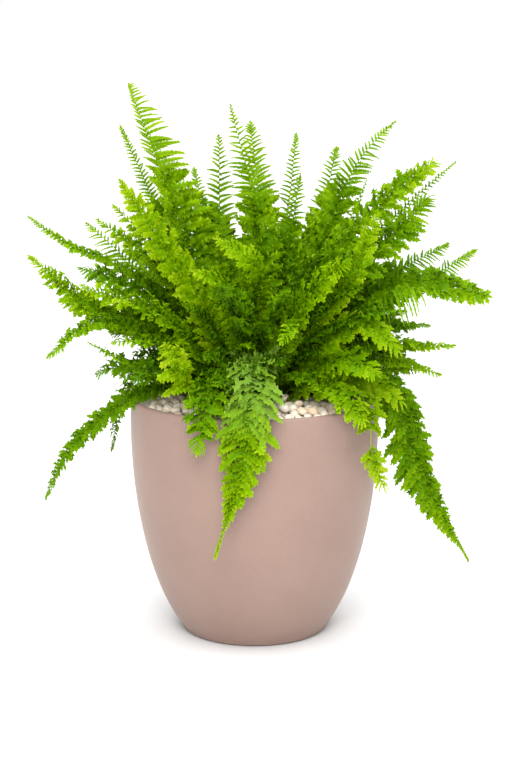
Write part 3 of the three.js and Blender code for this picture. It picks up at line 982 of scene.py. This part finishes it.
def blade(spine, look, rng):
    """World points, triangles and shading of a frond's leaflets."""
    at, side, length, left = place_leaflets(spine, look, rng)
    style = styles_along(left, look, rng)
    length = np.maximum(length * style["stretch"], LEAST_LEAFLET)
    base, axes = leaflet_axes(spine, at, side, left, look, style)
    to_tip = -side
    width = length * style["aspect"] * look["plump"] * rng.uniform(*LEAFLET_WIDTHS, len(at))
    width = np.clip(width, np.minimum(LEAST_LEAFLET, length * LEAST_WIDTH_SHARE), MOST_WIDTH)
    lobes = np.clip(np.round(length / style["pitch"]), 1, MOST_LOBES).astype(int)
    groups = []
    for number in np.unique(lobes):
        some = np.flatnonzero(lobes == number)
        own = {key: value[some] for key, value in style.items()}
        local, u, edge = leaflet_points(number, length[some], width[some], own, to_tip[some], rng)
        bend = own["droop"][:, None] * u
        reach = local[..., 0].copy()
        local[..., 2] -= reach * bend / 2
        local[..., 0] = reach * (1 - bend**2 / 6)
        local[..., 1] += to_tip[some, None] * own["sweep"][:, None] * reach * u
        world = base[some, None] + sum(local[..., k : k + 1] * axes[k][some, None] for k in range(3))
        world[..., 2] -= (own["gravity"][:, None] + look["hang"]) * reach * u
        faces = repeated(leaflet_faces(number), *world.shape[:2])
        groups.append((world.reshape(-1, 3), faces, leaf_shading(left[some], u, edge, look, rng)))
    return joined(groups)


def clear_of_planter(points):
    """Moves leaf points out of the planter's wall and up off the pebbles."""
    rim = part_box("planter")[1].z + LEAF_CLEARANCE
    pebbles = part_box("pebble_layer")[1].z + PEBBLE_HEAP
    radius = np.hypot(points[:, 0], points[:, 1])
    wall = outer_radius(points[:, 2]) + LEAF_CLEARANCE
    inside = wall - 2 * WALL
    in_wall = (points[:, 2] < rim) & (radius < wall) & (radius > inside)
    points[in_wall, :2] *= (wall[in_wall] / radius[in_wall])[:, None]
    sunk = (radius <= inside) & (radius > PEBBLE_INNER_RADIUS) & (points[:, 2] < pebbles)
    points[sunk, 2] = pebbles + 0.2 * (pebbles - points[sunk, 2])
    return points


def frond_mesh(spine, look, rng):
    """Points, triangles and shading values of one whole frond."""
    look = {**USUAL_LOOK, **look}
    stalk_points, stalk_faces = rachis(spine)
    points, faces, leaf = blade(spine, look, rng)
    tone = np.clip(look["tone"] + rng.normal(0, TONE_SPREAD) + leaf["youth_and_light"], 0, 1)
    bloom = np.clip(leaf["bloom"] * look["bloom"], 0, 1)
    along = np.repeat(np.linspace(0, 1, RACHIS_POINTS), RACHIS_SIDES)
    brown = np.interp(along, [0, BROWN_SHARE], [1, look["brown"]])
    stalk_tone = np.full(len(along), look["tone"] + STALK_TONE_GAIN)
    stalk_values = {"tone": stalk_tone, "stalk": brown, "bloom": 0 * brown}
    leaf_values = {"tone": tone, "stalk": 0 * tone, "bloom": bloom}
    leaflets = (clear_of_planter(points), faces, leaf_values)
    return joined([(stalk_points, stalk_faces, stalk_values), leaflets])


# How a frond looks, where its row in LOOKS says nothing else. Shares of the blade are from its tip.
USUAL_LOOK = dict(
    kind="ruffled",  # its leaflets, away from the tip
    open=0.05,  # share of the blade whose leaflets are open ones
    tail=0.15,  # share of the blade where the leaflets stand closer and closer
    bare=0.13,  # share of the frond that is bare stalk
    bald=(0.0, 0.0),  # stretch of the frond without leaflets, as shares from the root
    reach=1.35,  # how long the leaflets are for half the width of the CAD blade
    blunt=0.65,  # power on that width past its widest place, less than 1 for a fuller end
    foot=0.65,  # the same before its widest place
    ragged=0.12,  # spread of the leaflets' lengths
    uneven=0.0,  # how much longer they are on one side
    gap=1.0,  # factor on the way from one to the next
    plump=1.0,  # factor on their width
    curl=1.0,  # factor on how they twist, lift and droop
    hang=0.0,  # how much more they are pulled down
    turn=0.0,  # degrees by which they lean to one side
    sunward=0.0,  # how far the blade is rolled towards the light
    tone=0.56,  # how young it is, and so how yellow and bright, and per frond also painted light and shade
    age_and_shade=0.2,  # how much darker its leaflets get towards the stalk: partly older leaflets, partly painted shade deep in the plant
    brown=0.2,  # how brown its midrib is
    bloom=0.0,  # how grey its leaflets get towards the stalk
)
SLENDER = dict(kind="open", reach=1.6, blunt=0.8)
CHAIN = dict(reach=0.95, gap=0.85, blunt=0.5, plump=1.5)
SHINGLED = dict(kind="broad", reach=1.4, blunt=0.5, curl=0.6, ragged=0.18, gap=0.85)
SUNNED = dict(SHINGLED, sunward=1.0, age_and_shade=0.05)
DROOPING = dict(SHINGLED, tail=0.08, curl=0.9, sunward=0.6, age_and_shade=0.0)
# Looks of the fronds of each group, by their numbers. Their tones are partly painted light and shade, set
# frond by frond: higher for bright fronds in front and for some in shade, lower for fronds behind. The
# others have the usual look.
LOOKS = {
    "upright": {
        1: dict(open=0.3, reach=2.2, uneven=-0.3, turn=-26, gap=0.95, plump=0.95, blunt=0.7, tone=0.74),
        2: dict(open=0.3, reach=1.5, gap=0.85, plump=1.4, tone=0.74),
        3: dict(open=0.35, reach=2.0, tone=0.6),
        4: dict(SLENDER, reach=3.0, gap=0.85, plump=1.2, sunward=1.0, tone=0.7),
        5: dict(open=0.38, reach=2.3, gap=1.1, blunt=1.1, tone=0.74),
        6: dict(open=0.32, reach=2.5, tone=0.68),
        7: dict(open=0.5, reach=1.9, tone=0.68),
        8: dict(open=0.2, reach=2.2, tone=0.58),
        9: dict(open=0.3, reach=2.0, blunt=1.0, tone=0.7),
        10: dict(open=0.3, reach=2.2, tone=0.62),
        11: dict(SLENDER, reach=1.3, tone=0.62),
    },
    "arching": {
        1: dict(SUNNED, reach=1.5, blunt=0.7, tail=0.2, open=-0.05, tone=0.74, age_and_shade=0.0),
        2: dict(reach=2.2, sunward=0.5, tone=0.76),
        3: dict(reach=2.4, tone=0.68),
        4: dict(SLENDER, reach=1.8, gap=0.75, uneven=0.2, tone=0.7),
        5: dict(CHAIN, reach=1.2, tone=0.68),
        6: dict(reach=2.1, gap=0.85, tone=0.7),
        7: dict(open=0.12, reach=2.6, gap=0.8, blunt=0.4, tone=0.5),
        8: dict(open=0.0, reach=2.1, blunt=0.4, tail=0.1, tone=0.68),
        9: dict(SLENDER, reach=1.1, gap=0.7, tone=0.66),
        10: dict(SUNNED, tone=0.7, age_and_shade=0.0),
        11: dict(SUNNED, tone=0.72, age_and_shade=0.0),
        12: dict(SUNNED, tone=0.66),
        13: dict(SUNNED, tone=0.62),
        14: dict(open=0.28, reach=2.3, gap=0.8, tone=0.58),
        15: dict(open=0.22, reach=2.3, gap=0.8, tone=0.6),
        16: dict(open=-0.1, reach=1.9, gap=0.85, blunt=0.4, tail=0.08, curl=0.7, tone=0.6),
        17: dict(reach=2.1),
        18: dict(reach=1.8),
        19: dict(reach=1.8),
        20: dict(reach=2.1),
    },
    "low": {
        1: dict(CHAIN, reach=1.4, tone=0.62),
        2: dict(CHAIN, reach=1.1, tone=0.6),
        3: dict(reach=2.6, tone=0.65),
        4: dict(reach=2.6, tone=0.63),
        5: dict(CHAIN, reach=1.1, tone=0.68),
        6: dict(CHAIN, reach=1.0, tone=0.7),
        7: dict(SUNNED, reach=1.45, tone=0.66),
        8: dict(SUNNED, reach=1.7, tone=0.66),
        9: dict(SLENDER, reach=2.4, blunt=0.35, gap=0.7, hang=0.7, curl=1.5),
        10: dict(SUNNED, reach=1.3, curl=1.0, tone=0.54, age_and_shade=0.1),
        11: dict(DROOPING, reach=1.9, tone=0.66),
        12: dict(SUNNED, reach=1.75, hang=0.3, tone=0.78, age_and_shade=0.1),
        13: dict(reach=2.3, tone=0.6),
        14: dict(CHAIN, tone=0.5),
        18: dict(DROOPING, reach=2.0, tone=0.64),
    },
    "trailing": {
        1: dict(reach=1.7, gap=0.85, blunt=0.8, tone=0.62, age_and_shade=0.0),
        2: dict(
            SHINGLED, reach=1.64, blunt=2.4, foot=0.0, ragged=0.2, plump=1.4, curl=1.1, gap=0.65,
            tone=0.68, age_and_shade=0.0, bloom=0.8, brown=0.9
        ),
        3: dict(reach=1.85, blunt=1.6, foot=0.0, gap=0.7, uneven=-0.3, plump=1.2, tone=0.66, age_and_shade=0.15),
        4: dict(bare=0.5, bald=(0.68, 0.78), reach=3.2, blunt=0.4, tone=0.9, brown=0.0),
    },
}


def add_fronds(material):
    nodes = sorted(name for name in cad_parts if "_frond_" in name)
    for seed, node in enumerate(nodes):
        rng = np.random.default_rng(seed)
        group, _, number = node.split("_")
        look = LOOKS[group].get(int(number), {})
        points, faces, values = frond_mesh(spine_of(node), look, rng)
        add_piece(node + "_leaflets", points, faces, material, node, values, SHARP_EDGE)


def young_frond(azimuth, lean, length, bend, tone, rng):
    half = length * rng.uniform(*YOUNG_HALF_WIDTHS)
    turn = math.radians(rng.normal(0, YOUNG_TURN_SPREAD))
    spine = young_spine(azimuth, max(lean, 0.05), length, half, turn, bend)
    return frond_mesh(spine, dict(YOUNG_LOOK, tone=tone), rng)


def filling_frond(i, rng):
    """A young frond in the middle of the plant. The first ones stand upright and are the longest,
    and those that lean out to the sides and the back are brighter, with less of the painted shade of the
    middle."""
    share = (i + 0.5) / YOUNG_FRONDS
    lean = np.interp(math.sqrt(share), [0, 1], YOUNG_LEANS) + rng.normal(0, YOUNG_LEAN_SPREAD)
    lean = math.radians(lean)
    azimuth = i * GOLDEN_ANGLE + rng.normal(0, YOUNG_AZIMUTH_SPREAD)
    length = rng.uniform(*YOUNG_LENGTHS) * np.interp(share, [0, 0.8], [YOUNG_UPRIGHT_GAIN, 1])
    frontal = max(0, -math.sin(azimuth))
    length *= 1 - YOUNG_FRONT_LOSS * frontal
    gain = np.interp(share, YOUNG_OUTER_SHARES, [0, YOUNG_SIDE_GAIN]) * (1 - frontal**4)
    return young_frond(azimuth, lean, length, YOUNG_BEND, rng.uniform(*YOUNG_TONES) + gain, rng)


def skirt_frond(i, rng):
    """A low young frond over the soil."""
    azimuth = 2 * math.pi * (i + rng.uniform(-0.3, 0.3)) / SKIRT_FRONDS - math.pi
    lean = math.radians(rng.uniform(*SKIRT_LEANS))
    openness = max(0, *(1 - ((azimuth - middle) / half) ** 2 for middle, half in np.radians(OPENINGS)))
    length = rng.uniform(*SKIRT_LENGTHS) * (1 - openness) + OPENING_LENGTH * openness
    return young_frond(azimuth, lean, length, SKIRT_BEND, rng.uniform(*SKIRT_TONES), rng)


def add_young_fronds(material):
    rng = np.random.default_rng(YOUNG_SEED)
    groups = [[] for _ in range(YOUNG_GROUPS)]
    for i in range(YOUNG_FRONDS):
        groups[i * YOUNG_GROUPS // YOUNG_FRONDS].append(filling_frond(i, rng))
    groups.append([skirt_frond(i, rng) for i in range(SKIRT_FRONDS)])
    for number, meshes in enumerate(groups, start=1):
        points, faces, values = joined(meshes)
        name = f"young_fronds_{number}"
        add_piece(name, points, faces, material, values=values, sharp=SHARP_EDGE)


add_camera()
add_world()
add_overhead_light()
add_key_light()
add_floor()
add_planter(planter_material())
add_soil(soil_material())
add_pebbles(pebble_material())
add_crown(rhizome_material())
leaf = leaf_material()
add_fronds(leaf)
add_young_fronds(leaf)
